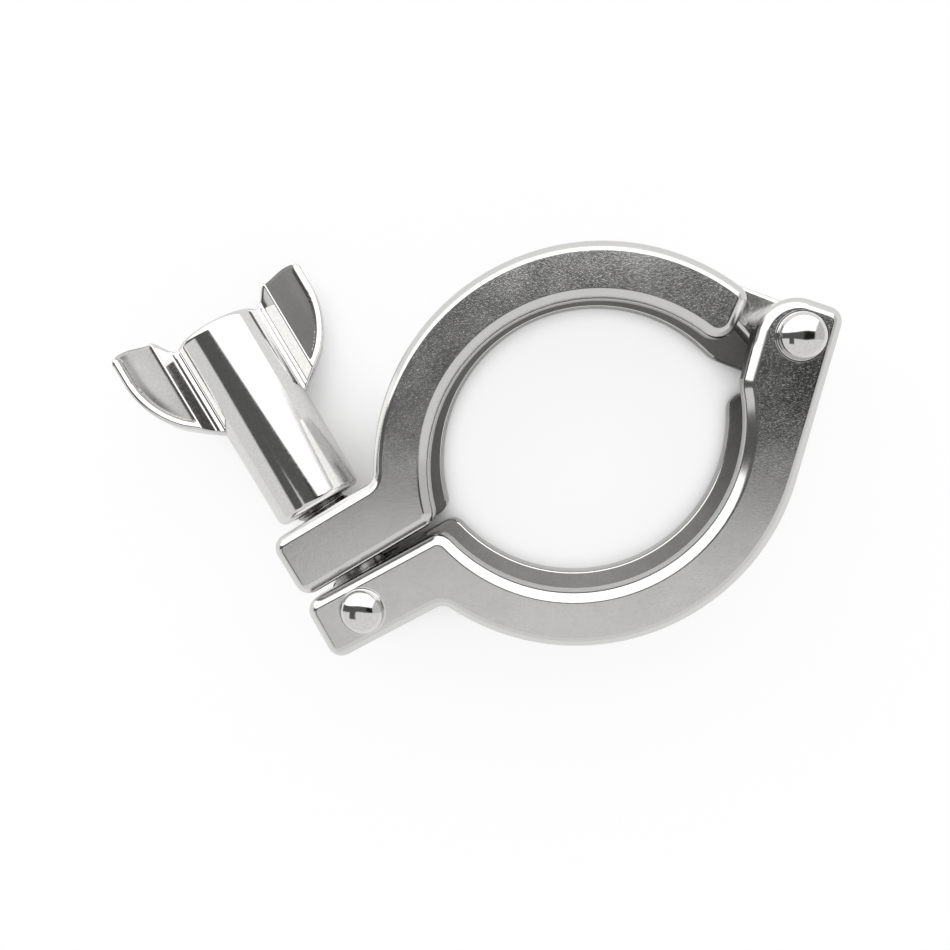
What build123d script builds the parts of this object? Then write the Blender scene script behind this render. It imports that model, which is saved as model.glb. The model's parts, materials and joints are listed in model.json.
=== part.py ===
from build123d import *
import math
import os

os.makedirs("parts", exist_ok=True)

# Sanitary hinged clamp: two cast ring halves with a V groove, lapped on a hinge
# rivet, drawn together by a wing nut on a swing bolt.
# Frame: the ring's axis is Z and its centre the origin, at mid width. The hinge
# is on +X and the lugs are on -X. Millimetres.

# Ring
flange_d = 50.5  # ferrule flange that the groove grips
flange_room = 1.35  # radial room between flange rim and groove root
back_wall = 2.8  # metal behind the groove root
lip_depth = 4.6  # from groove root in to the bore of the lips
ring_width = 17.4
groove_root_w = 7.0
groove_flank = 20.0  # degrees, each flank against the ring's plane
edge_bevel = 1.1  # all round the front and rear faces

# Hinge
pin_d = 4.8
pin_reach = 1.0  # pin centre beyond the ring's outer radius
running_gap = 0.05  # radial, shaft in hole
lap_gap = 0.16  # between the two lapped ears
ear_r = 5.0
ear_back = 0.5  # the ear's round is centred this far inside the pin
ear_toe_r = 2.0  # smaller round at the ear's outer corner
ear_toe_out = 3.5
ear_toe_drop = 0.5
ear_neck_angle = 10.0  # where the ear's inner side runs into the bore
end_cut_angle = 33.7  # square end of the short side, against X
end_cut_gap = 2.7  # from that end to the other half's ear
end_inner_round = 2.5
end_outer_round = 1.8
overclose = 6.43  # each half's turn past concentric when the clamp is empty

# Lugs
lug_t = 8.9
lug_corner = 2.0
neck_round = 2.0
lip_round = 2.2
upper_lug_tilt = 3.4
upper_lug_part = 4.95  # parting face from the ring's centre
lower_lug_tilt = 7.6
lower_lug_part = 3.95
lug_reach = 43.6  # end of the lower lug from the ring's centre
upper_lug_shy = 0.7  # the upper lug is this much shorter
slot_side_gap = 0.5
slot_end_gap = 0.9

# Swing bolt
bolt_d = 7.9
bolt_len = 39.5  # from the pivot's centre to the free end
bolt_lean = 2.7  # outward, degrees
pivot_inset = 7.2  # pivot centre from the lower lug's end
eye_d = 8.6
eye_side_gap = 0.2
bolt_end_chamfer = 0.8

# Wing nut
nut_len = 29.0
nut_d = 12.8
nut_bevel = 1.0
nut_start = 15.3  # near end of the nut from the pivot
nut_turn = 19.0  # how far the wings are turned out of the ring's plane
wing_span = 29.4
wing_t = 4.2
wing_web_t = 2.2  # at the trough beside the barrel and in the dish
wing_groove_w = 2.5  # from the barrel to the crest
wing_crest_slope = 1.4
wing_crest_w = 0.8
wing_rim_w = 1.3
wing_tip_round = 1.3
wing_top = 3.0  # wing tips beyond the barrel's far end
wing_low = 15.0  # where the wing leaves the barrel, from the near end

# Rivets
head_d = 6.0
head_h = 1.9
collar_h = 0.3  # straight edge under the dome

# Sizes that follow
groove_root_r = flange_d / 2 + flange_room
outer_r = groove_root_r + back_wall
bore_r = groove_root_r - lip_depth
half_w = ring_width / 2
hinge_r = outer_r + pin_reach
upper_lug_reach = lug_reach - upper_lug_shy
pin_r = pin_d / 2
slot_w = bolt_d + 2 * slot_side_gap
LOW = (Align.CENTER, Align.CENTER, Align.MIN)
bolt_r = bolt_d / 2


def polygon(points):
    """Face through the given corners."""
    return make_face(Polyline(*points, close=True))


def strip(c0, r0, c1, r1):
    """Two discs and the tangent strip that joins them."""
    dx = c1[0] - c0[0]
    dy = c1[1] - c0[1]
    d = math.hypot(dx, dy)
    turn = math.acos((r0 - r1) / d)
    base = math.atan2(dy, dx)
    corners = []
    for centre, r, side in ((c0, r0, 1), (c1, r1, 1), (c1, r1, -1), (c0, r0, -1)):
        a = base + side * turn
        corners.append((centre[0] + r * math.cos(a), centre[1] + r * math.sin(a)))
    discs = Pos(*c0) * Circle(r0) + Pos(*c1) * Circle(r1)
    return discs + polygon(corners)


def near(shape, x, y):
    """The vertex of a sketch nearest to a point."""
    return min(shape.vertices(), key=lambda v: math.hypot(v.X - x, v.Y - y))


def ring_line_hit(radius, px, py, ux, uy, sign):
    """Where a line through (px, py) along (ux, uy) meets a circle about the origin."""
    b = px * ux + py * uy
    c = px * px + py * py - radius * radius
    s = -b + sign * math.sqrt(b * b - c)
    return px + s * ux, py + s * uy


def lug_axes(tilt):
    """Unit vectors outward along a lug and across it."""
    a = math.radians(tilt)
    return (-math.cos(a), math.sin(a)), (math.sin(a), math.cos(a))


def lug_point(tilt, out, across):
    """Point at a distance out along a lug and across from the ring's centre."""
    e, n = lug_axes(tilt)
    return e[0] * out + n[0] * across, e[1] * out + n[1] * across


def ring_and_lug(tilt, part, reach):
    """Outline shared by both layers: arc of the ring from the hinge side to the lug."""
    inner = outer_r * 0.4
    keep = polygon(
        [
            lug_point(tilt, 2 * reach, part),
            lug_point(tilt, 0, part),
            (0, 0),
            (3 * outer_r, 0),
            (3 * outer_r, 3 * outer_r),
            (-3 * outer_r, 3 * outer_r),
        ]
    )
    lug = polygon(
        [
            lug_point(tilt, reach, part),
            lug_point(tilt, inner, part),
            lug_point(tilt, inner, part + lug_t),
            lug_point(tilt, reach, part + lug_t),
        ]
    )
    shape = (Circle(outer_r) & keep) + lug - Circle(bore_r)
    ends = [near(shape, *lug_point(tilt, reach, part + s)) for s in (0, lug_t)]
    shape = fillet(ends, lug_corner)
    e, n = lug_axes(tilt)
    neck = ring_line_hit(outer_r, n[0] * (part + lug_t), n[1] * (part + lug_t), *e, 1)
    shape = fillet([near(shape, *neck)], neck_round)
    lip = ring_line_hit(bore_r, n[0] * part, n[1] * part, *e, 1)
    return fillet([near(shape, *lip)], lip_round)


def short_outline(tilt, part, reach):
    """Layer whose end stops short of the other half's ear."""
    a = math.radians(end_cut_angle)
    u = (math.cos(a), math.sin(a))
    n = (-math.sin(a), math.cos(a))
    d = ear_r + end_cut_gap
    px, py = hinge_r + n[0] * d, n[1] * d
    far = 4 * outer_r
    cut = polygon(
        [
            (px - u[0] * far, py - u[1] * far),
            (px + u[0] * far, py + u[1] * far),
            (px + u[0] * far - n[0] * far, py + u[1] * far - n[1] * far),
            (px - u[0] * far - n[0] * far, py - u[1] * far - n[1] * far),
        ]
    )
    cut = cut & (Pos(outer_r, 0) * Rectangle(1.2 * outer_r, 2 * outer_r))
    shape = ring_and_lug(tilt, part, reach) - cut
    outer_end = ring_line_hit(outer_r, px, py, *u, 1)
    shape = fillet([near(shape, *outer_end)], end_outer_round)
    inner_end = ring_line_hit(bore_r, px, py, *u, 1)
    return fillet([near(shape, *inner_end)], end_inner_round)


def ear_outline(tilt, part, reach):
    """Layer that carries the hinge ear, whose outer side runs straight into the ring."""
    wall_r = (outer_r - bore_r) / 2
    mid_r = bore_r + wall_r
    a = math.radians(ear_neck_angle)
    crown = (hinge_r - ear_back, 0)
    toe = (hinge_r + ear_toe_out, -ear_toe_drop)
    neck = (mid_r * math.cos(a), mid_r * math.sin(a))
    ear = strip(crown, ear_r, toe, ear_toe_r) + strip(crown, ear_r, neck, wall_r)
    turn = math.acos((outer_r - ear_toe_r) / math.hypot(*toe)) + math.atan2(toe[1], toe[0])
    c, s = math.cos(turn), math.sin(turn)
    toe_side = (toe[0] + ear_toe_r * c, toe[1] + ear_toe_r * s)
    ring_side = (outer_r * c, outer_r * s)
    web = polygon([neck, toe, toe_side, ring_side, (mid_r * c, mid_r * s)])
    below = polygon([(0, 0), (60, 60 * math.tan(a)), (60, -60), (0, -60)])
    return (ring_and_lug(tilt, part, reach) - below) + ear + web - Circle(bore_r)


def slab(outline, z0, z1, bevel_top):
    """Extrude an outline from z0 to z1 and bevel the edges of one face."""
    body = extrude(Pos(0, 0, z0) * outline, z1 - z0)
    z = z1 if bevel_top else z0
    rim = body.edges().filter_by_position(Axis.Z, z - 1e-4, z + 1e-4)
    return chamfer(rim, edge_bevel)


def groove():
    """V groove that draws the two ferrule flanges together."""
    inner = bore_r - edge_bevel
    slope = math.tan(math.radians(groove_flank))
    half_root = groove_root_w / 2
    half_mouth = half_root + (groove_root_r - inner) * slope
    section = make_face(
        Polyline(
            (inner, 0, -half_mouth),
            (groove_root_r, 0, -half_root),
            (groove_root_r, 0, half_root),
            (inner, 0, half_mouth),
            close=True,
        )
    )
    return revolve(section, Axis.Z)


def lug_slot(tilt, part, out_from, round_end):
    """Slot through a lug, open at its outer end. round_end gives it a half-round floor."""
    length = 3 * slot_w
    start = out_from + (slot_w / 2 if round_end else 0)
    shape = Pos(start + length / 2, 0) * Rectangle(length, slot_w)
    if round_end:
        shape = shape + Pos(start, 0) * Circle(slot_w / 2)
    x, y = lug_point(tilt, 0, part - lug_t)
    e, n = lug_axes(tilt)
    plane = Plane(origin=(x, y, 0), x_dir=(e[0], e[1], 0), z_dir=(n[0], n[1], 0))
    return extrude(plane * shape, 3 * lug_t)


def half_casting(tilt, part, reach, slot_from, slot_round, pin_hole_r):
    """One cast half in its own frame, its ring above X and its ear at the rear."""
    front = slab(short_outline(tilt, part, reach), 0, half_w, True)
    rear = slab(ear_outline(tilt, part, reach), -half_w, 0, False)
    ear_face = Pos(hinge_r, 0) * Circle(3 * ear_r) & polygon(
        [(0, -60), (90, -60), (90, 60), (0, 60)]
    )
    open_side = ear_face - short_outline(tilt, part, reach)
    body = front + rear
    body = body - extrude(Pos(0, 0, -lap_gap / 2) * open_side, lap_gap)
    body = body - groove()
    body = body - lug_slot(tilt, part, slot_from, slot_round)
    hole = Pos(hinge_r, 0, 0) * Cylinder(pin_hole_r, 2 * ring_width)
    return body - hole


def to_rest(shape, side):
    """Turn a half about the hinge from concentric to the empty clamp's closed pose."""
    return Pos(hinge_r, 0, 0) * Rot(0, 0, side * overclose) * Pos(-hinge_r, 0, 0) * shape


def flip(shape):
    """Turn a half over, about X, so that its ear comes to the front."""
    return Rot(180, 0, 0) * shape


def rest_xy(point, side):
    """Where a point of a half's own frame lies at rest. side is 1 above, -1 below."""
    a = math.radians(side * overclose)
    x = point[0] - hinge_r
    y = side * point[1]
    return (
        hinge_r + x * math.cos(a) - y * math.sin(a),
        x * math.sin(a) + y * math.cos(a),
    )


# Pivot of the swing bolt, in the lower half's own frame and at rest
pivot_out = lug_reach - pivot_inset
pivot_own = lug_point(lower_lug_tilt, pivot_out, lower_lug_part + lug_t / 2)
pivot = rest_xy(pivot_own, -1)
lean = math.radians(bolt_lean)
bolt_dir = (-math.sin(lean), math.cos(lean))

# Where the bolt crosses the upper lug, along that lug
turn_back = math.radians(-overclose)
bolt_plane = Plane(
    origin=(pivot[0], pivot[1], 0),
    x_dir=(bolt_dir[1], -bolt_dir[0], 0),
    z_dir=(bolt_dir[0], bolt_dir[1], 0),
)


def upper_crossing():
    """Distance along the upper lug at which the bolt's axis passes through it."""
    far = (pivot[0] + 60 * bolt_dir[0], pivot[1] + 60 * bolt_dir[1])
    own = []
    for p in (pivot, far):
        x, y = p[0] - hinge_r, p[1]
        c, s = math.cos(turn_back), math.sin(turn_back)
        own.append((hinge_r + x * c - y * s, x * s + y * c))
    e, n = lug_axes(upper_lug_tilt)
    out = [p[0] * e[0] + p[1] * e[1] for p in own]
    across = [p[0] * n[0] + p[1] * n[1] for p in own]
    t = (upper_lug_part + lug_t / 2 - across[0]) / (across[1] - across[0])
    return out[0] + t * (out[1] - out[0])


def upper_half():
    floor = upper_crossing() - slot_w / 2
    shape = half_casting(
        upper_lug_tilt, upper_lug_part, upper_lug_reach, floor, True, pin_r + running_gap
    )
    return to_rest(shape, 1)


def lower_half():
    floor = pivot_out - eye_d / 2 - slot_end_gap
    shape = half_casting(
        lower_lug_tilt, lower_lug_part, lug_reach, floor, False, pin_r
    )
    shape = shape - Pos(pivot_own[0], pivot_own[1], 0) * Cylinder(pin_r, 2 * ring_width)
    return to_rest(flip(shape), -1)


def rivet():
    """Rivet about Z with a domed head in front and its tail upset flush behind."""
    ball_r = (head_d * head_d / 4 + head_h * head_h) / (2 * head_h)
    top = half_w + collar_h
    shank = Pos(0, 0, -half_w) * Cylinder(pin_r, ring_width, align=LOW)
    collar = Pos(0, 0, half_w) * Cylinder(head_d / 2, collar_h, align=LOW)
    dome = Pos(0, 0, top + head_h - ball_r) * Sphere(ball_r)
    dome = dome & Pos(0, 0, top) * Cylinder(head_d, 2 * head_h, align=LOW)
    return shank + collar + dome


def swing_bolt():
    """Eye on the pivot and a round shank that carries the thread."""
    eye_w = slot_w - 2 * eye_side_gap
    eye = Pos(pivot[0], pivot[1], 0) * Cylinder(eye_d / 2, eye_w)
    shank = Cylinder(bolt_r, bolt_len, align=LOW)
    tip = shank.edges().filter_by_position(Axis.Z, bolt_len - 1e-4, bolt_len + 1e-4)
    shank = chamfer(tip, bolt_end_chamfer)
    hole = Pos(pivot[0], pivot[1], 0) * Cylinder(pin_r + running_gap, 2 * ring_width)
    return eye + bolt_plane.location * shank - hole


def wing_outline():
    """Outline of one wing: w out from the nut's axis, v from its near end."""
    w = wing_span / 2
    top = nut_len + wing_top
    root = nut_d * 0.2
    low = (w - 3.9, wing_low + 3.6)
    edge = (w, nut_len - 0.5)
    path = [
        Line((root, wing_low - 2.9), low),
        ThreePointArc(low, (w - 0.85, wing_low + 8.2), edge),
        Line(edge, (w, top)),
        Line((w, top), (w - 5.8, top)),
        Line((w - 5.8, top), (root, nut_len - 2.9)),
        Line((root, nut_len - 2.9), (root, wing_low - 2.9)),
    ]
    face = make_face(Curve() + path)
    tip = fillet([near(face, w, top)], wing_tip_round)
    return fillet([near(tip, w - 5.8, top)], wing_tip_round)


def wing():
    """One wing in the plane y = 0, with the nut's axis along Z."""
    outline = wing_outline()
    blank = extrude(Plane.XZ * outline, wing_t / 2, both=True)
    r = nut_d / 2
    crest = r + wing_groove_w
    deep = wing_t
    groove_side = polygon(
        [
            (r - 1, wing_web_t / 2),
            (crest - wing_crest_slope, wing_web_t / 2),
            (crest, wing_t / 2 + 0.1),
            (crest, deep),
            (r - 1, deep),
        ]
    )
    trough = extrude(Pos(0, 0, -nut_len) * groove_side, 3 * nut_len)
    beyond = Pos(crest + wing_crest_w + wing_span / 2, nut_len)
    dish = (Pos(-wing_rim_w, wing_rim_w) * outline) & (
        beyond * Rectangle(wing_span, 3 * nut_len)
    )
    pocket = extrude(Plane.XZ.offset(wing_web_t / 2) * dish, deep, taper=-20)
    cuts = trough + pocket.mirror(Plane.XZ)
    return blank - cuts - cuts.mirror(Plane.XZ)


def wing_nut():
    """Long barrel with a running thread bore and two opposite wings, cast as one."""
    barrel = Cylinder(nut_d / 2, nut_len, align=LOW)
    barrel = chamfer(barrel.edges().filter_by(GeomType.CIRCLE), nut_bevel)
    one = wing()
    nut = barrel + one + Rot(0, 0, 180) * one
    nut = nut - Pos(0, 0, -1) * Cylinder(bolt_r + running_gap, 2 * nut_len, align=LOW)
    return bolt_plane.location * Pos(0, 0, nut_start) * Rot(0, 0, nut_turn) * nut


nodes = {
    "upper_half": upper_half(),
    "lower_half": lower_half(),
    "hinge_rivet": Pos(hinge_r, 0, 0) * rivet(),
    "bolt_rivet": Pos(pivot[0], pivot[1], 0) * rivet(),
    "swing_bolt": swing_bolt(),
    "wing_nut": wing_nut(),
}
for name, shape in nodes.items():
    export_step(shape, "parts/" + name + ".step")
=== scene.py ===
import json
import math

import bmesh
import bpy
import numpy as np
from mathutils import Matrix, Vector


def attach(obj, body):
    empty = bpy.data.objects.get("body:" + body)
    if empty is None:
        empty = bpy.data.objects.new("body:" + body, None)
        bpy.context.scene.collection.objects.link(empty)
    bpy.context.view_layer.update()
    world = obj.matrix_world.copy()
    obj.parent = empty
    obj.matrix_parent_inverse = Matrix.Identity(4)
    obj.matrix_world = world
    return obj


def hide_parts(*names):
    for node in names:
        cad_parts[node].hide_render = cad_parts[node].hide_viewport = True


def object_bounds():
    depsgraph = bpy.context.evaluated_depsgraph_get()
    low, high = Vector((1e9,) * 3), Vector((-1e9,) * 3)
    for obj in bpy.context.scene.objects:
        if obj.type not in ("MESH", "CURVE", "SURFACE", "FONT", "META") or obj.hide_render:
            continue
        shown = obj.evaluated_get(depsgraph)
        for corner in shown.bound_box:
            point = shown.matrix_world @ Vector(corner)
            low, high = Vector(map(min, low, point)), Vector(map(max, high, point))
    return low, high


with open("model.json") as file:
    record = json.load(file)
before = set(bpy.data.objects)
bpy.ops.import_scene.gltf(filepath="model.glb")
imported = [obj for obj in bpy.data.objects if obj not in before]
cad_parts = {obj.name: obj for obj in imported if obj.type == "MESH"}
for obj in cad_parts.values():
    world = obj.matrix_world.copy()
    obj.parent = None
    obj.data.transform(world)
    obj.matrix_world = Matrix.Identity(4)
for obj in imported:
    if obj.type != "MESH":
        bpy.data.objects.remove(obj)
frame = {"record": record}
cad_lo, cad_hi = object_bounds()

# Lengths are in millimetres in the part's frame, and MM turns them into metres: Z runs
# along the ring's axis, +X to the hinge, -X to the lugs, and the nut points to +Y.
MM = 0.001
RIGHT = Vector((0.8823, -0.4707, 0.0))  # the picture's right and up, laid on the part's XY
UP = Vector((0.4707, 0.8823, 0.0))

JOINTS = {j["name"]: j for j in frame["record"]["behaviour"]["joints"]}
HINGE = Vector(JOINTS["clamp_hinge"]["pos_m"]) / MM
PIVOT = Vector(JOINTS["bolt_swing"]["pos_m"]) / MM
BOLT_DIR = Vector(JOINTS["nut_travel"]["axis"]).normalized()

# Castings
FACE_Z = 8.7  # height of the flat front and rear faces
HALF_TURN = 6.43  # degrees by which each half is closed past round
LAP_Z = 0.08  # height of the lap faces off the middle plane
LAP_ROUND, EDGE_ROUND = 0.75, 0.32
GROOVE_R, GROOVE_Z = (22.3, 26.75), 5.4

# Rivets
HEAD_R, HEAD_H, HEAD_SEAT = 3.0, 1.9, 0.3
RIVET_R = 2.4

# Bolt and thread
THREAD_R, THREAD_DEPTH, PITCH, AROUND = 3.95, 0.62, 1.25, 48
BOLT_START, BOLT_END = 3.6, 39.5
EYE_R, EYE_BORE, EYE_HALF, EYE_ROUND = 4.3, 2.45, 4.25, 0.35
CHAMFER = 0.2

# Wing nut: heights run from the nut's lower end, and a wing reaches out from its axis
NUT_LEN, NUT_R, NUT_BORE = 29.0, 6.4, 4.0
NUT_AT, NUT_TURN = 15.3, 19.0
SPAN, TOP, TIP_ROUND = 14.7, 32.0, 1.3
ROOT, HEEL = (2.56, 12.1), (10.8, 18.6)  # ends of the lower edge's straight run
BOW, TIP = (13.85, 23.2), (SPAN, 28.5)  # points on the arc that follows it
DISH_AT = 10.2  # reach at which the grid grows finer towards the tip

# Camera and floor
CAMERA_AT = (2.86822224, 8.57632751, 124.91347551)
CAMERA_RIGHT = Vector((0.87733138, -0.46807907, -0.10579053))
CAMERA_UP = Vector((0.45829787, 0.88262792, -0.10455146))
SENSOR = 36.0
LENS = SENSOR * 900 / 950
FLOOR_HALF = 3.0  # metres
FLOOR_DROP = 0.0002  # metres below the part


# ---------------------------------------------------------------- materials
def new_material(name):
    """A metal, its node tree and its shader."""
    m = bpy.data.materials.new(name)
    m.use_nodes = True
    t = m.node_tree
    t.nodes.clear()
    out = t.nodes.new("ShaderNodeOutputMaterial")
    s = t.nodes.new("ShaderNodeBsdfPrincipled")
    t.links.new(s.outputs[0], out.inputs[0])
    s.inputs["Metallic"].default_value = 1.0
    return m, t, s


def object_space(t):
    return t.nodes.new("ShaderNodeTexCoord").outputs["Object"]


def noise(t, scale, detail=3.0, rough=0.55, kind="ShaderNodeTexNoise", space=None):
    """A noise texture, in the object's own space unless another is given."""
    n = t.nodes.new(kind)
    n.inputs["Scale"].default_value = scale
    n.inputs["Detail"].default_value = detail
    n.inputs["Roughness"].default_value = rough
    t.links.new(space or object_space(t), n.inputs["Vector"])
    return n.outputs["Fac"] if "Fac" in n.outputs else n.outputs["Distance"]


def math_node(t, op, a, b):
    """A math node on two sockets or numbers."""
    n = t.nodes.new("ShaderNodeMath")
    n.operation = op
    for socket, v in zip(n.inputs, (a, b)):
        if isinstance(v, (int, float)):
            socket.default_value = v
        else:
            t.links.new(v, socket)
    return n.outputs[0]


def ramp(t, fac, low, high):
    """A ramp between two stops of (position, gray level or colour)."""
    n = t.nodes.new("ShaderNodeValToRGB")
    t.links.new(fac, n.inputs[0])
    for stop, (position, colour) in zip(n.color_ramp.elements, (low, high)):
        if isinstance(colour, (int, float)):
            colour = (colour, colour, colour)
        stop.position = position
        stop.color = (*colour, 1.0)
    return n.outputs[0]


def bump(t, height, strength, distance, normal=None):
    n = t.nodes.new("ShaderNodeBump")
    n.inputs["Strength"].default_value = strength
    n.inputs["Distance"].default_value = distance
    t.links.new(height, n.inputs["Height"])
    if normal:
        t.links.new(normal, n.inputs["Normal"])
    return n.outputs[0]


def strokes(t):
    """Short fine strokes lying every way, as a tumbling barrel leaves them."""
    total = None
    for degrees in (10, 52, 97, 143):
        space = object_space(t)
        turn = ("Rotation", (0, 0, math.radians(degrees)))
        for socket, value in (turn, ("Scale", (1.0, 5.0, 2.0))):
            n = t.nodes.new("ShaderNodeMapping")
            n.inputs[socket].default_value = value
            t.links.new(space, n.inputs["Vector"])
            space = n.outputs[0]
        f = noise(t, 1900, 2.0, 0.5, space=space)
        total = f if total is None else math_node(t, "MAXIMUM", total, f)
    return total


def cast_steel(name, low, high, rough, depth):
    """Tumbled stainless casting between two colours, with strokes of a depth in metres."""
    m, t, s = new_material(name)
    fine = strokes(t)
    grain = noise(t, 3600, 2.0, 0.6)
    cloud = noise(t, 130, 3.0, 0.6)
    mixed = math_node(t, "ADD", math_node(t, "MULTIPLY", fine, 0.5),
                      math_node(t, "MULTIPLY", cloud, 0.5))
    colour = ramp(t, mixed, (0.40, low), (0.72, high))
    pits = noise(t, 700, kind="ShaderNodeTexVoronoi")
    where = math_node(t, "MULTIPLY", noise(t, 90, 2.0, 0.6), -0.22)
    spots = ramp(t, math_node(t, "ADD", pits, where), (0.0, 0.25), (0.035, 1.0))
    mix = t.nodes.new("ShaderNodeMix")
    mix.data_type = "RGBA"
    mix.blend_type = "MULTIPLY"
    mix.inputs[0].default_value = 1.0
    t.links.new(colour, mix.inputs[6])
    t.links.new(spots, mix.inputs[7])
    t.links.new(mix.outputs[2], s.inputs["Base Color"])
    t.links.new(ramp(t, cloud, (0.35, rough), (0.65, rough + 0.05)), s.inputs["Roughness"])
    cut = bump(t, ramp(t, fine, (0.57, 0.0), (0.75, 1.0)), 1.0, depth)
    t.links.new(bump(t, grain, 0.5, depth * 0.3, cut), s.inputs["Normal"])
    return m


def polished_steel():
    """Buffed until it mirrors, with the slight waviness that a casting keeps."""
    m, t, s = new_material("polished_steel")
    waves = noise(t, 230, 2.0, 0.5)
    fine = noise(t, 2400, 3.0, 0.6)
    colour = ramp(t, fine, (0.3, (0.64, 0.635, 0.625)), (0.7, (0.72, 0.715, 0.705)))
    t.links.new(colour, s.inputs["Base Color"])
    t.links.new(ramp(t, fine, (0.3, 0.05), (0.7, 0.11)), s.inputs["Roughness"])
    broad = bump(t, waves, 0.14, 0.00005)
    t.links.new(bump(t, fine, 0.10, 0.000004, broad), s.inputs["Normal"])
    return m


def thread_steel():
    """Machined and never polished, with its colour darkened further as painted shade for the
    gap between the lugs.
    """
    m, t, s = new_material("thread_steel")
    fine = noise(t, 1800, 3.0, 0.6)
    colour = ramp(t, fine, (0.3, (0.20, 0.198, 0.19)), (0.7, (0.34, 0.335, 0.325)))
    t.links.new(colour, s.inputs["Base Color"])
    t.links.new(ramp(t, fine, (0.3, 0.2), (0.7, 0.3)), s.inputs["Roughness"])
    return m


CAST = cast_steel("cast_steel", (0.56, 0.555, 0.54), (0.70, 0.695, 0.685), 0.15, 3.6e-6)
RIM = cast_steel("rim_steel", (0.62, 0.615, 0.60), (0.66, 0.655, 0.645), 0.12, 4e-7)
# The groove's dark colour is painted shade in the V groove
GROOVE = cast_steel("groove_steel_painted_shade", (0.12, 0.118, 0.114), (0.20, 0.197, 0.19), 0.36, 3e-6)
POLISHED = polished_steel()
# Both dish colours are painted shade in the wings' dishes, the second deeper than the first
DISH = cast_steel("dish_steel_painted_shade", (0.26, 0.257, 0.25), (0.40, 0.396, 0.388), 0.24, 1.6e-6)
DEEP_DISH_SHADE = cast_steel("dish_deeper_painted_shade", (0.13, 0.128, 0.124), (0.19, 0.187, 0.18), 0.45, 2e-6)
# The bolt's dark colour is painted shade for the gap between the lugs
THREAD = thread_steel()


# ---------------------------------------------------------------- meshes
def link_object(name, data):
    o = bpy.data.objects.new(name, data)
    bpy.context.scene.collection.objects.link(o)
    return o


def mesh_object(name, verts, faces, mats, indices=None):
    """A smooth-shaded object, with a material index for each face."""
    me = bpy.data.meshes.new(name)
    me.from_pydata([tuple(v) for v in verts], [], faces)
    for m in mats:
        me.materials.append(m)
    if indices is not None:
        me.polygons.foreach_set("material_index", indices)
    me.polygons.foreach_set("use_smooth", [True] * len(me.polygons))
    me.update()
    return link_object(name, me)


def weigh_normals(o, angle=35):
    """Edges above the angle are sharp and flat faces shade flat; applied to the mesh."""
    me = o.data
    bm = bmesh.new()
    bm.from_mesh(me)
    lim = math.radians(angle)
    for e in bm.edges:
        e.smooth = len(e.link_faces) == 2 and e.calc_face_angle(0) < lim
    bm.to_mesh(me)
    bm.free()
    w = o.modifiers.new("weigh", "WEIGHTED_NORMAL")
    w.mode = "FACE_AREA"
    w.weight = 50
    w.keep_sharp = True
    dg = bpy.context.evaluated_depsgraph_get()
    new = bpy.data.meshes.new_from_object(
        o.evaluated_get(dg), preserve_all_data_layers=True, depsgraph=dg)
    o.modifiers.clear()
    o.data = new


def upright_at(point):
    """Frame in millimetres with Z along the ring's axis, through a point."""
    return Matrix.Translation(Vector((point.x, point.y, 0)) * MM) @ Matrix.Scale(MM, 4)


def on_circle(r, i, around, z):
    """The i-th of the points around a circle at a height."""
    a = 2 * math.pi * i / around
    return Vector((r * math.cos(a), r * math.sin(a), z))


def lathe(profile, around, matrix):
    """A closed profile of (radius, height) turned about Z."""
    verts, faces = [], []
    n = len(profile)
    for i in range(around):
        verts += [matrix @ on_circle(r, i, around, z) for r, z in profile]
    for i in range(around):
        j = (i + 1) % around
        for k in range(n):
            m = (k + 1) % n
            faces.append((i * n + k, j * n + k, j * n + m, i * n + m))
    return verts, faces


def helix(radius, z0, z1, per_turn, matrix, outward):
    """Screwed surface between two heights, whose radius depends on phase and height."""
    rows = int((z1 - z0) / PITCH * per_turn)
    n = AROUND
    verts, faces = [], []
    for k in range(rows + 1):
        z = z0 + (z1 - z0) * k / rows
        for i in range(n):
            verts.append(matrix @ on_circle(radius((z / PITCH - i / n) % 1.0, z), i, n, z))
    for k in range(rows):
        for i in range(n):
            j = (i + 1) % n
            q = (k * n + i, k * n + j, (k + 1) * n + j, (k + 1) * n + i)
            faces.append(q if outward else tuple(reversed(q)))
    return verts, faces


def turned_over(faces):
    return [tuple(reversed(q)) for q in faces]


def join(parts):
    """One mesh's vertices and faces from those of several."""
    verts, faces = [], []
    for v, f in parts:
        n = len(verts)
        verts += v
        faces += [tuple(i + n for i in q) for q in f]
    return verts, faces


def arc(cx, cz, r, a0, a1, n):
    """Points of an arc from a0 to a1 degrees."""
    out = []
    for i in range(n + 1):
        a = math.radians(a0 + (a1 - a0) * i / n)
        out.append((cx + r * math.cos(a), cz + r * math.sin(a)))
    return out


def smooth(x, lo, hi):
    """Eased step from 0 at lo to 1 at hi."""
    t = np.clip((x - lo) / (hi - lo), 0, 1)
    return t * t * (3 - 2 * t)


# ---------------------------------------------------------------- castings
def ring_centre(side):
    """Centre of a half's ring, closed past round about the hinge."""
    a = math.radians(HALF_TURN * side)
    return Vector((HINGE.x - HINGE.x * math.cos(a), -HINGE.x * math.sin(a), 0))


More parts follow.
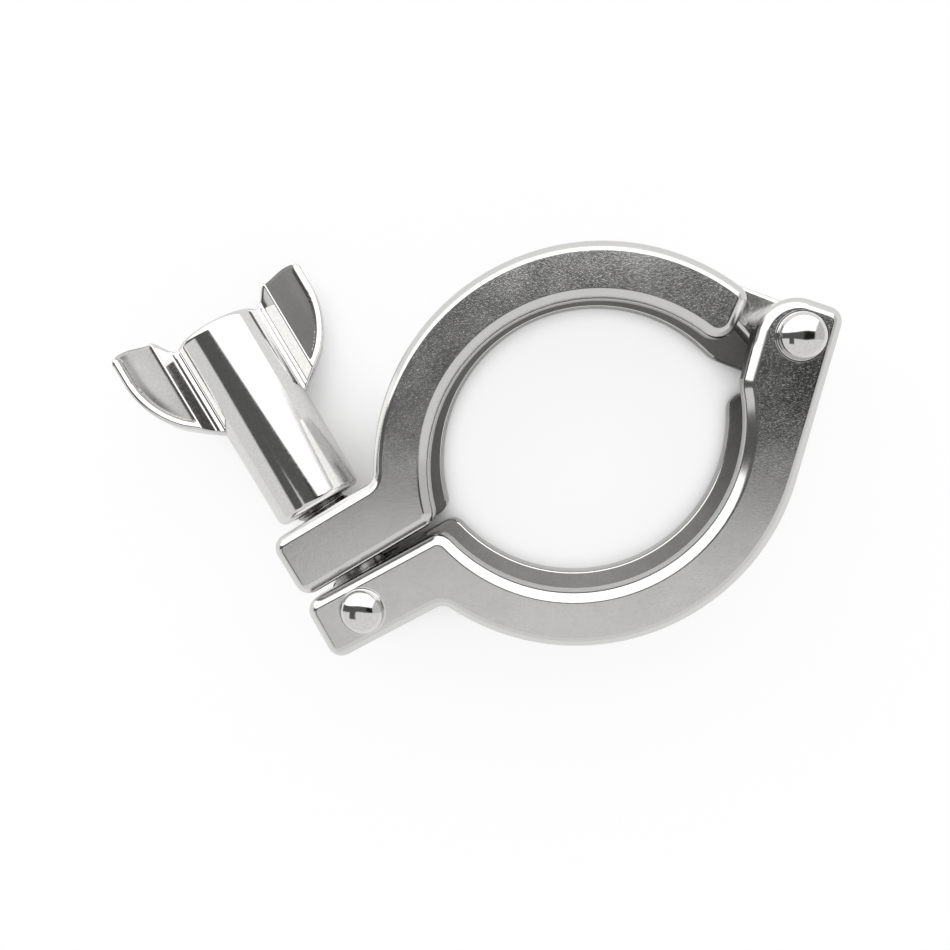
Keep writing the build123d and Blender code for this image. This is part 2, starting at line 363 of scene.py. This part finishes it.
def rounded_casting(node, name, centre):
    """The CAD half with its rims, lips and lap faces rounded as the casting's are."""
    src = bpy.data.objects[node]
    bm = bmesh.new()
    bm.from_mesh(src.data)
    bm.transform(src.matrix_world)
    layers = bm.loops.layers.float_vector
    for key in list(layers.keys()):
        layers.remove(layers[key])
    bmesh.ops.remove_doubles(bm, verts=bm.verts, dist=3e-6)
    bmesh.ops.dissolve_limit(
        bm, angle_limit=math.radians(0.6), verts=bm.verts, edges=bm.edges)

    def convex(lo, hi):
        return [e for e in bm.edges if len(e.link_faces) == 2 and e.is_convex
                and lo < math.degrees(e.calc_face_angle(0)) < hi]

    def on_lap(e):
        z0, z1 = e.verts[0].co.z, e.verts[1].co.z
        return abs(abs(z0) - LAP_Z * MM) < 0.02 * MM and abs(z0 - z1) < 1e-6

    def bevel(edges, offset, segments):
        bmesh.ops.bevel(bm, geom=edges, offset=offset * MM, offset_type="OFFSET",
                        segments=segments, profile=0.5, affect="EDGES",
                        clamp_overlap=False)

    rim = [e for e in convex(60, 120) if on_lap(e)]
    if rim:
        bevel(rim, LAP_ROUND, 4)
    bevel(convex(28, 120), EDGE_ROUND, 2)

    me = bpy.data.meshes.new(name)
    for m in (CAST, RIM, GROOVE):
        me.materials.append(m)
    for f in bm.faces:
        f.smooth = True
        c = f.calc_center_median() / MM - centre
        # Faces in the groove take the dark colour that paints its shade
        if GROOVE_R[0] < math.hypot(c.x, c.y) < GROOVE_R[1] and abs(c.z) < GROOVE_Z:
            f.material_index = 2
        else:
            f.material_index = 0 if abs(f.normal.z) > 0.995 else 1
    bm.to_mesh(me)
    bm.free()
    o = link_object(name, me)
    weigh_normals(o)
    return o


upper = rounded_casting("upper_half", "upper_casting", ring_centre(1))
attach(upper, "upper")
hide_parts("upper_half")
lower = rounded_casting("lower_half", "lower_casting", ring_centre(-1))
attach(lower, "base")
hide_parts("lower_half")


# ---------------------------------------------------------------- rivets
def rivet(name, at, node):
    """Domed head on a thin flange, shank, and a tail upset flush with the rear face."""
    top = FACE_Z
    prof = [(0.0005, -top), (1.7, -top), (2.22, -8.68), (2.36, -8.6), (RIVET_R, -8.45)]
    prof += [(RIVET_R, top), (3.22, top), (3.25, top + 0.03), (3.22, top + 0.06)]
    prof += [(3.05, top + 0.07), (HEAD_R, top + 0.12), (HEAD_R, top + 0.25)]
    for q in [math.cos(math.pi / 2 * k / 28) for k in range(1, 28)] + [0.0002]:
        prof.append((HEAD_R * q, top + HEAD_SEAT + HEAD_H * math.sqrt(1 - q ** 2.3)))
    v, f = lathe(prof, 72, upright_at(at))
    o = mesh_object(name, v, turned_over(f), [POLISHED])
    weigh_normals(o, 40)
    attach(o, "base")
    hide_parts(node)


rivet("hinge_rivet_head", HINGE, "hinge_rivet")
rivet("bolt_rivet_head", PIVOT, "bolt_rivet")


# ---------------------------------------------------------------- bolt
def along_bolt(shift, turn):
    """Frame with Z along the bolt, shifted out from the pivot and turned about it."""
    z = BOLT_DIR
    x = Vector((z.y, -z.x, 0))
    y = z.cross(x)
    m = Matrix((x, y, z)).transposed().to_4x4()
    m = Matrix.Translation(PIVOT * MM) @ m @ Matrix.Scale(MM, 4)
    return m @ Matrix.Translation((0, 0, shift)) @ Matrix.Rotation(math.radians(turn), 4, "Z")


def swing_bolt():
    """Threaded shank with a tapered end, and the eye that runs on the rivet."""
    m = along_bolt(0, 0)

    def thread(phase, z):
        """Starts near the eye and fades into the taper of the bolt's end."""
        depth = THREAD_DEPTH * min(1.0, abs(phase - 0.5) * 2 * 1.25)
        start = max(0.0, min(1.0, (z - 7.0) / 1.0))
        end = 1 - max(0.0, min(1.0, (BOLT_END - z) / 0.8))
        return (THREAD_R - depth * start) - end * 0.75 * (1 - depth / THREAD_DEPTH * 0.8)

    verts, faces = helix(thread, BOLT_START, BOLT_END, 8, m, True)
    n = len(verts)
    verts.append(m @ Vector((0, 0, BOLT_END)))
    faces += [(n - AROUND + i, n - AROUND + (i + 1) % AROUND, n) for i in range(AROUND)]
    w, e = EYE_HALF, EYE_ROUND
    prof = [(EYE_BORE, -w + CHAMFER), (EYE_BORE + CHAMFER, -w), (EYE_R - e, -w)]
    prof += arc(EYE_R - e, -w + e, e, -90, 0, 4)[1:] + arc(EYE_R - e, w - e, e, 0, 90, 4)
    prof += [(EYE_BORE + CHAMFER, w), (EYE_BORE, w - CHAMFER)]
    v, f = lathe(prof, 64, upright_at(PIVOT))
    verts, faces = join([(verts, faces), (v, turned_over(f))])
    o = mesh_object("threaded_bolt", verts, faces, [THREAD])
    weigh_normals(o, 45)
    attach(o, "bolt")
    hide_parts("swing_bolt")


swing_bolt()


# ---------------------------------------------------------------- wing nut
def wing_edges():
    """Lower and upper edge heights of a wing as functions of its reach w."""
    a, b, c = np.array(HEEL), np.array(BOW), np.array(TIP)
    d = 2 * (a[0] * (b[1] - c[1]) + b[0] * (c[1] - a[1]) + c[0] * (a[1] - b[1]))
    sa, sb, sc = a @ a, b @ b, c @ c
    ux = (sa * (b[1] - c[1]) + sb * (c[1] - a[1]) + sc * (a[1] - b[1])) / d
    uy = (sa * (c[0] - b[0]) + sb * (a[0] - c[0]) + sc * (b[0] - a[0])) / d
    rad = math.hypot(a[0] - ux, a[1] - uy)

    def low(w):
        """A straight run, then the arc through heel, bow and tip."""
        line = ROOT[1] + (w - ROOT[0]) * (HEEL[1] - ROOT[1]) / (HEEL[0] - ROOT[0])
        curve = uy - np.sqrt(np.maximum(rad * rad - (w - ux) ** 2, 0))
        return np.where(w < HEEL[0], line, np.minimum(curve, TIP[1]))

    def high(w):
        """Two eased rises from the barrel outwards, then the rounded tip."""
        step = 28.8 + 2.4 * smooth(w, 6.4, 8.9) + 0.8 * smooth(w, 8.4, 12.9)
        past = np.maximum(w - SPAN + TIP_ROUND, 0)
        rounded = TOP - TIP_ROUND + np.sqrt(np.maximum(TIP_ROUND ** 2 - past ** 2, 0))
        return np.minimum(step, rounded)

    return low, high


def edge_distance(w, v, pts):
    """Distance from grid points to a polyline."""
    best = np.full(w.shape, 1e9)
    for p, q in zip(pts[:-1], pts[1:]):
        e = q - p
        squared = max(e @ e, 1e-12)
        t = np.clip(((w - p[0]) * e[0] + (v - p[1]) * e[1]) / squared, 0, 1)
        best = np.minimum(best, np.hypot(w - p[0] - t * e[0], v - p[1] - t * e[1]))
    return best


def wing_grid():
    """Reach, height, half thickness and distance from the outer edge, over a wing."""
    low, high = wing_edges()
    cols = np.concatenate([
        np.linspace(5.3, DISH_AT, 46),
        DISH_AT + (SPAN - DISH_AT) * np.sin(np.linspace(0, math.pi / 2, 44))[1:],
    ])
    rows = 0.5 - 0.5 * np.cos(np.linspace(0, math.pi, 110))
    w = np.repeat(cols[:, None], len(rows), 1)
    lo, hi = low(cols)[:, None], high(cols)[:, None]
    v = lo + (hi - lo) * rows[None, :]

    ws = np.linspace(4.0, SPAN, 160)
    tip = [(SPAN, 29.6), (SPAN, TOP - TIP_ROUND)]
    outer = edge_distance(w, v, np.array(list(zip(ws, low(ws))) + tip))
    edge = np.minimum(outer, edge_distance(w, v, np.array(list(zip(ws, high(ws))))))

    h = 1.0 + 1.1 * np.clip((w - 7.1) / 1.7, 0, 1) ** 1.2  # trough, then crest
    h = h + 0.12 * np.exp(-((w - 6.95) / 0.16) ** 2)  # fine ridge in the trough
    dish = 0.80 * smooth(w, 8.95, 9.25) * smooth(outer, 0.95, 1.35)
    h = h - dish + 0.12 * smooth(w, 9.6, 12.4) * smooth(outer, 1.0, 2.6)
    rnd = 0.5  # radius of the edge all round
    k = np.clip(edge, 0, rnd)
    h = h - rnd + np.sqrt(np.maximum(rnd * rnd - (rnd - k) ** 2, 0))
    return w, v, h, outer


def wing(matrix, flip):
    """One corrugated wing: trough, fine ridge, crest, open dish and raised rim."""
    w, v, h, outer = wing_grid()
    nc, nr = w.shape
    verts = [matrix @ Vector((flip * w[i, j], flip * s * h[i, j], v[i, j]))
             for s in (1, -1) for i in range(nc) for j in range(nr)]
    faces, idx = [], []
    for s in (0, 1):
        for i in range(nc - 1):
            for j in range(nr - 1):
                a = s * nc * nr + i * nr + j
                q = (a, a + nr, a + nr + 1, a + 1)
                faces.append(tuple(reversed(q)) if s == 0 else q)
                # Dish faces take the colours that paint shade there, deeper on the wing's
                # second face
                in_dish = w[i, j] > 9.15 and outer[i, j] > 1.3
                idx.append(1 + s if in_dish else 0)
    n = nc * nr
    ring = [i * nr for i in range(nc)] + [(nc - 1) * nr + j for j in range(1, nr)]
    ring += [i * nr + nr - 1 for i in range(nc - 2, -1, -1)]
    faces += [(a, b, b + n, a + n) for a, b in zip(ring[:-1], ring[1:])]
    idx += [0] * (len(ring) - 1)
    return verts, faces, idx


def wing_nut():
    """Barrel with a threaded bore, and two wings, each with a satin dish on one face and a
    duller one on the other, both darkened as painted shade, the duller one more.
    """
    m = along_bolt(NUT_AT, NUT_TURN)
    prof = [(NUT_BORE, 0.5), (4.45, 0.0), (NUT_R - 1.1, 0.0)]
    prof += arc(NUT_R - 1.1, 1.1, 1.1, -90, 0, 7)[1:]
    prof += arc(NUT_R - 1.0, NUT_LEN - 1.0, 1.0, 0, 90, 7)
    prof += [(4.5, NUT_LEN), (NUT_BORE, NUT_LEN - 0.5)]
    n = len(prof)
    v, f = lathe(prof, 112, m)
    barrel = v, turned_over(q for q in f if {q[0] % n, q[3] % n} != {0, n - 1})

    def thread(phase, z):
        return NUT_BORE + 0.55 * max(0.0, 1 - abs(phase - 0.5) * 2.6)

    verts, faces = join([barrel, helix(thread, 0.5, NUT_LEN - 0.5, 6, m, False)])
    idx = [0] * len(faces)
    for flip in (1, -1):
        wing_verts, wing_faces, wing_idx = wing(m, flip)
        verts, faces = join([(verts, faces), (wing_verts, wing_faces)])
        idx += wing_idx
    o = mesh_object("cast_wing_nut", verts, faces, [POLISHED, DISH, DEEP_DISH_SHADE], idx)
    bm = bmesh.new()
    bm.from_mesh(o.data)
    bmesh.ops.recalc_face_normals(bm, faces=bm.faces)
    bm.to_mesh(o.data)
    bm.free()
    weigh_normals(o, 42)
    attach(o, "nut")
    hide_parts("wing_nut")


wing_nut()


# ---------------------------------------------------------------- floor, light, camera
def map_range(t, value, from_min, from_max, to_min, to_max, kind="LINEAR"):
    n = t.nodes.new("ShaderNodeMapRange")
    n.interpolation_type = kind
    n.inputs["From Min"].default_value = from_min
    n.inputs["From Max"].default_value = from_max
    n.inputs["To Min"].default_value = to_min
    n.inputs["To Max"].default_value = to_max
    t.links.new(value, n.inputs["Value"])
    return n.outputs[0]


def floor():
    """Plain white floor. Camera and mirror rays see it lifted to white, except close under
    the part, where occlusion masks paint shade; its shadow stays.
    """
    z = cad_lo[2] - FLOOR_DROP
    me = bpy.data.meshes.new("floor")
    r = FLOOR_HALF
    me.from_pydata([(-r, -r, z), (r, -r, z), (r, r, z), (-r, r, z)], [], [(0, 1, 2, 3)])
    o = link_object("floor", me)
    m = bpy.data.materials.new("floor")
    m.use_nodes = True
    t = m.node_tree
    t.nodes.clear()
    out = t.nodes.new("ShaderNodeOutputMaterial")
    mix = t.nodes.new("ShaderNodeMixShader")
    paint = t.nodes.new("ShaderNodeBsdfDiffuse")
    paint.inputs["Color"].default_value = (0.92, 0.92, 0.92, 1)
    white = t.nodes.new("ShaderNodeEmission")
    white.inputs["Strength"].default_value = 1.0
    t.links.new(paint.outputs[0], mix.inputs[1])
    t.links.new(white.outputs[0], mix.inputs[2])
    ray = t.nodes.new("ShaderNodeLightPath").outputs

    def open_sky(reach, low, high, most):
        """Share of white, which falls where the part stands close over the floor, painting
        shade there.
        """
        ao = t.nodes.new("ShaderNodeAmbientOcclusion")
        ao.samples = 6
        ao.inputs["Distance"].default_value = reach
        return map_range(t, ao.outputs["AO"], low, high, 0.0, most)

    # The occlusion masks paint shade on the floor near the part, both as seen and as
    # reflected in the metal
    mirror = math_node(t, "MAXIMUM", ray["Is Glossy Ray"], ray["Is Transmission Ray"])
    mirror = math_node(t, "MULTIPLY", mirror, open_sky(0.020, 0.45, 1.0, 0.7))
    seen = math_node(t, "MULTIPLY", ray["Is Camera Ray"], open_sky(0.012, 0.30, 0.66, 0.87))
    t.links.new(math_node(t, "MAXIMUM", seen, mirror), mix.inputs[0])
    t.links.new(mix.outputs[0], out.inputs[0])
    me.materials.append(m)


def studio_world():
    """Soft studio: a broad light overhead, pale towards the bottom, dark about the camera."""
    w = bpy.data.worlds.new("studio")
    bpy.context.scene.world = w
    w.use_nodes = True
    t = w.node_tree
    t.nodes.clear()
    out = t.nodes.new("ShaderNodeOutputWorld")
    bg = t.nodes.new("ShaderNodeBackground")
    t.links.new(bg.outputs[0], out.inputs[0])
    direction = t.nodes.new("ShaderNodeTexCoord").outputs["Generated"]

    def along(axis):
        """How far the direction leans along an axis."""
        n = t.nodes.new("ShaderNodeVectorMath")
        n.operation = "DOT_PRODUCT"
        t.links.new(direction, n.inputs[0])
        n.inputs[1].default_value = tuple(axis)
        return n.outputs["Value"]

    def step(value, lo, hi, a, b):
        return map_range(t, value, lo, hi, a, b, "SMOOTHSTEP")

    def times(a, b):
        return math_node(t, "MULTIPLY", a, b)

    def most(*parts):
        total = parts[0]
        for p in parts[1:]:
            total = math_node(t, "MAXIMUM", total, p)
        return total

    up, right, below = along(UP), along(RIGHT), along(-UP)
    lower_right = math_node(t, "ADD", right, times(up, -0.4))
    slant = math_node(t, "ADD", right, times(up, -0.66))
    overhead = times(step(up, 0.18, 0.24, 0.0, 2.5), step(lower_right, 0.45, 0.60, 1.0, 0.22))
    opening = most(step(right, -0.40, -0.32, 0.0, 1.0), step(below, 0.40, 0.47, 0.0, 1.0),
                   step(right, -0.62, -0.70, 0.0, 1.0))
    bottom = times(step(below, 0.105, 0.150, 0.0, 1.10), opening)
    middle = step(right, 0.10, 0.23, 0.15, 0.018)
    side = step(right, 0.54, 0.64, 0.0, 0.85)
    card = times(step(slant, -0.26, -0.30, 0.0, 0.14), step(right, -0.62, -0.52, 0.1, 1.0))
    t.links.new(most(overhead, bottom, middle, side, card), bg.inputs["Strength"])


def camera():
    cd = bpy.data.cameras.new("camera")
    cd.sensor_width = SENSOR
    cd.lens = LENS
    cd.clip_start = 0.002
    o = link_object("camera", cd)
    back = CAMERA_RIGHT.cross(CAMERA_UP)
    turn = Matrix((CAMERA_RIGHT, CAMERA_UP, back)).transposed().to_4x4()
    o.matrix_world = Matrix.Translation(Vector(CAMERA_AT) * MM) @ turn
    bpy.context.scene.camera = o


floor()
studio_world()
camera()
bpy.context.scene.view_settings.view_transform = "Standard"
